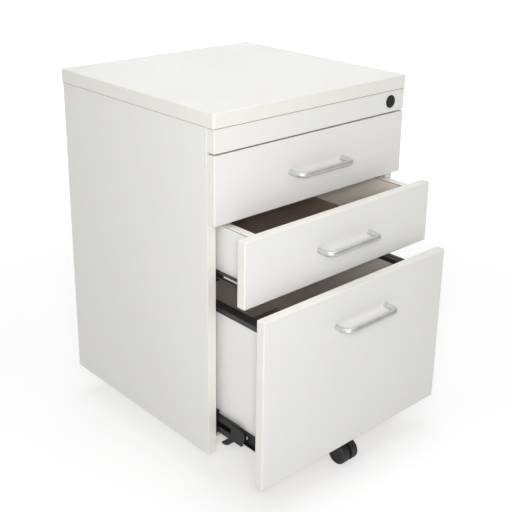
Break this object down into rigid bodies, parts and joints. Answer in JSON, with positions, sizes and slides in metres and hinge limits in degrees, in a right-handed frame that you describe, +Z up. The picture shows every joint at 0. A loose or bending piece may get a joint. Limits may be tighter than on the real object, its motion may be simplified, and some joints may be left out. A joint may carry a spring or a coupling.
{
  "type": "rolling pedestal cabinet",
  "caption": "White board pedestal cabinet on twin-wheel castors, with shallow drawers over a file drawer, bar handles, a lock in its rail and an anti-tilt castor under the file drawer.",
  "frame": {"origin": "on the floor, under the middle of the whole outline with the drawers as modelled (middle drawer 73 mm open, file drawer 120 mm open)", "axes": "+Z up, +X to the right when the drawer fronts are faced, -Y towards the user"},
  "size_m": [0.465, 0.5982, 0.685],
  "materials": {
    "white_board": "satin white melamine with matching edge band",
    "dark_hardboard": "smooth dark hardboard",
    "satin_metal": "satin silver plating",
    "zinc_steel": "bright zinc plating",
    "dark_steel": "dark epoxy coating",
    "black_steel": "black electrophoretic coating",
    "black_plastic": "fine grained black plastic",
    "castor_plastic": "satin black nylon",
    "wheel_plastic": "matt black nylon",
    "black_lock": "black coated die casting"
  },
  "bodies": {
    "cabinet": {"top_panel": "white_board", "side_panel_left": "white_board", "side_panel_right": "white_board", "back_panel": "white_board", "bottom_panel": "white_board", "lock_rail": "white_board", "cam_locks": "zinc_steel", "cabinet_screws": "zinc_steel", "lock_housing": "black_lock", "drawer_1_cabinet_runners": "dark_steel", "drawer_2_cabinet_runners": "dark_steel", "file_runner_outer": "black_steel", "castor_plates": "zinc_steel"},
    "lock_barrel": {"lock_barrel": "black_lock", "lock_cam": "zinc_steel"},
    "lock_bar": {"lock_bar": "zinc_steel"},
    "drawer_1": {"drawer_1_front": "white_board", "drawer_1_sides": "white_board", "drawer_1_back": "white_board", "drawer_1_bottom": "dark_hardboard", "drawer_1_handle": "satin_metal", "drawer_1_handle_screws": "zinc_steel", "drawer_1_lock_catch": "black_plastic", "drawer_1_runners": "dark_steel"},
    "drawer_2": {"drawer_2_front": "white_board", "drawer_2_sides": "white_board", "drawer_2_back": "white_board", "drawer_2_bottom": "dark_hardboard", "drawer_2_handle": "satin_metal", "drawer_2_handle_screws": "zinc_steel", "drawer_2_lock_catch": "black_plastic", "drawer_2_runners": "dark_steel"},
    "file_drawer": {"file_drawer_front": "white_board", "file_drawer_sides": "white_board", "file_drawer_back": "white_board", "file_drawer_bottom": "dark_hardboard", "file_drawer_handle": "satin_metal", "file_drawer_handle_screws": "zinc_steel", "file_drawer_lock_catch": "black_plastic", "file_runner_inner": "black_steel", "filing_rails": "black_plastic", "fifth_castor_bracket": "black_steel", "fifth_castor_fixings": "zinc_steel"},
    "drawer_1_cabinet_rollers": {"drawer_1_cabinet_rollers": "black_plastic"},
    "drawer_1_rollers": {"drawer_1_rollers": "black_plastic"},
    "drawer_2_cabinet_rollers": {"drawer_2_cabinet_rollers": "black_plastic"},
    "drawer_2_rollers": {"drawer_2_rollers": "black_plastic"},
    "file_runner_middle": {"file_runner_middle": "black_steel", "file_runner_end_caps": "black_plastic"},
    "file_runner_cages": {"file_runner_ball_cages": "zinc_steel"},
    "castor_front_left": {"castor_front_left_hood": "castor_plastic"},
    "castor_front_left_wheels": {"castor_front_left_wheels": "wheel_plastic"},
    "castor_front_right": {"castor_front_right_hood": "castor_plastic"},
    "castor_front_right_wheels": {"castor_front_right_wheels": "wheel_plastic"},
    "castor_rear_left": {"castor_rear_left_hood": "castor_plastic"},
    "castor_rear_left_wheels": {"castor_rear_left_wheels": "wheel_plastic"},
    "castor_rear_right": {"castor_rear_right_hood": "castor_plastic"},
    "castor_rear_right_wheels": {"castor_rear_right_wheels": "wheel_plastic"},
    "fifth_castor": {"fifth_castor_hood": "castor_plastic"},
    "fifth_castor_wheels": {"fifth_castor_wheels": "wheel_plastic"}
  },
  "joints": [
    {"name": "drawer_1_slide", "type": "slide", "parent": "cabinet", "child": "drawer_1", "axis": [0, -1, 0], "range_m": [0, 0.3]},
    {"name": "drawer_2_slide", "type": "slide", "parent": "cabinet", "child": "drawer_2", "axis": [0, -1, 0], "range_m": [-0.073, 0.227]},
    {"name": "file_drawer_slide", "type": "slide", "parent": "cabinet", "child": "file_drawer", "axis": [0, -1, 0], "range_m": [-0.12, 0.28]},
    {"name": "lock_turn", "type": "hinge", "parent": "cabinet", "child": "lock_barrel", "pos_m": [0.192, -0.13087, 0.63975], "axis": [0, 1, 0], "range_deg": [0, 90]},
    {"name": "lock_bar_slide", "type": "slide", "parent": "cabinet", "child": "lock_bar", "axis": [0, 0, -1], "range_m": [0, 0.012]},
    {"name": "drawer_1_cabinet_roller_spin", "type": "hinge", "parent": "cabinet", "child": "drawer_1_cabinet_rollers", "pos_m": [0, -0.11488, 0.5191], "axis": [1, 0, 0], "range_deg": [-5, 2695]},
    {"name": "drawer_1_roller_spin", "type": "hinge", "parent": "drawer_1", "child": "drawer_1_rollers", "pos_m": [0, 0.25062, 0.5191], "axis": [1, 0, 0], "range_deg": [-5, 2695]},
    {"name": "drawer_2_cabinet_roller_spin", "type": "hinge", "parent": "cabinet", "child": "drawer_2_cabinet_rollers", "pos_m": [0, -0.11488, 0.3986], "axis": [1, 0, 0], "range_deg": [-660, 2040]},
    {"name": "drawer_2_roller_spin", "type": "hinge", "parent": "drawer_2", "child": "drawer_2_rollers", "pos_m": [0, 0.17763, 0.3986], "axis": [1, 0, 0], "range_deg": [-660, 2040]},
    {"name": "file_runner_middle_slide", "type": "slide", "parent": "cabinet", "child": "file_runner_middle", "axis": [0, -1, 0], "range_m": [-0.0722, 0.1682]},
    {"name": "file_runner_cage_slide", "type": "slide", "parent": "cabinet", "child": "file_runner_cages", "axis": [0, -1, 0], "range_m": [-0.0362, 0.0842]},
    {"name": "castor_front_left_swivel", "type": "hinge", "parent": "cabinet", "child": "castor_front_left", "pos_m": [-0.1165, -0.06938, 0.045], "axis": [0, 0, 1], "continuous": true},
    {"name": "castor_front_left_roll", "type": "hinge", "parent": "castor_front_left", "child": "castor_front_left_wheels", "pos_m": [-0.1165, -0.05538, 0.02], "axis": [1, 0, 0], "continuous": true},
    {"name": "castor_front_right_swivel", "type": "hinge", "parent": "cabinet", "child": "castor_front_right", "pos_m": [0.1165, -0.06938, 0.045], "axis": [0, 0, 1], "continuous": true},
    {"name": "castor_front_right_roll", "type": "hinge", "parent": "castor_front_right", "child": "castor_front_right_wheels", "pos_m": [0.1165, -0.05538, 0.02], "axis": [1, 0, 0], "continuous": true},
    {"name": "castor_rear_left_swivel", "type": "hinge", "parent": "cabinet", "child": "castor_rear_left", "pos_m": [-0.1165, 0.22212, 0.045], "axis": [0, 0, 1], "continuous": true},
    {"name": "castor_rear_left_roll", "type": "hinge", "parent": "castor_rear_left", "child": "castor_rear_left_wheels", "pos_m": [-0.1165, 0.23613, 0.02], "axis": [1, 0, 0], "continuous": true},
    {"name": "castor_rear_right_swivel", "type": "hinge", "parent": "cabinet", "child": "castor_rear_right", "pos_m": [0.1165, 0.22212, 0.045], "axis": [0, 0, 1], "continuous": true},
    {"name": "castor_rear_right_roll", "type": "hinge", "parent": "castor_rear_right", "child": "castor_rear_right_wheels", "pos_m": [0.1165, 0.23613, 0.02], "axis": [1, 0, 0], "continuous": true},
    {"name": "fifth_castor_swivel", "type": "hinge", "parent": "file_drawer", "child": "fifth_castor", "pos_m": [0, -0.22637, 0.045], "axis": [0, 0, 1], "continuous": true},
    {"name": "fifth_castor_roll", "type": "hinge", "parent": "fifth_castor", "child": "fifth_castor_wheels", "pos_m": [0, -0.24038, 0.0215], "axis": [1, 0, 0], "continuous": true}
  ],
  "couplings": [
    {"joint": "lock_turn", "follows": "lock_bar_slide", "rad_per_m": 130.85},
    {"joint": "drawer_1_cabinet_roller_spin", "follows": "drawer_1_slide", "rad_per_m": 156.25},
    {"joint": "drawer_1_roller_spin", "follows": "drawer_1_slide", "rad_per_m": 156.25},
    {"joint": "drawer_2_cabinet_roller_spin", "follows": "drawer_2_slide", "rad_per_m": 156.25},
    {"joint": "drawer_2_roller_spin", "follows": "drawer_2_slide", "rad_per_m": 156.25},
    {"joint": "file_runner_middle_slide", "follows": "file_drawer_slide", "ratio": 0.6},
    {"joint": "file_runner_cage_slide", "follows": "file_drawer_slide", "ratio": 0.3}
  ]
}
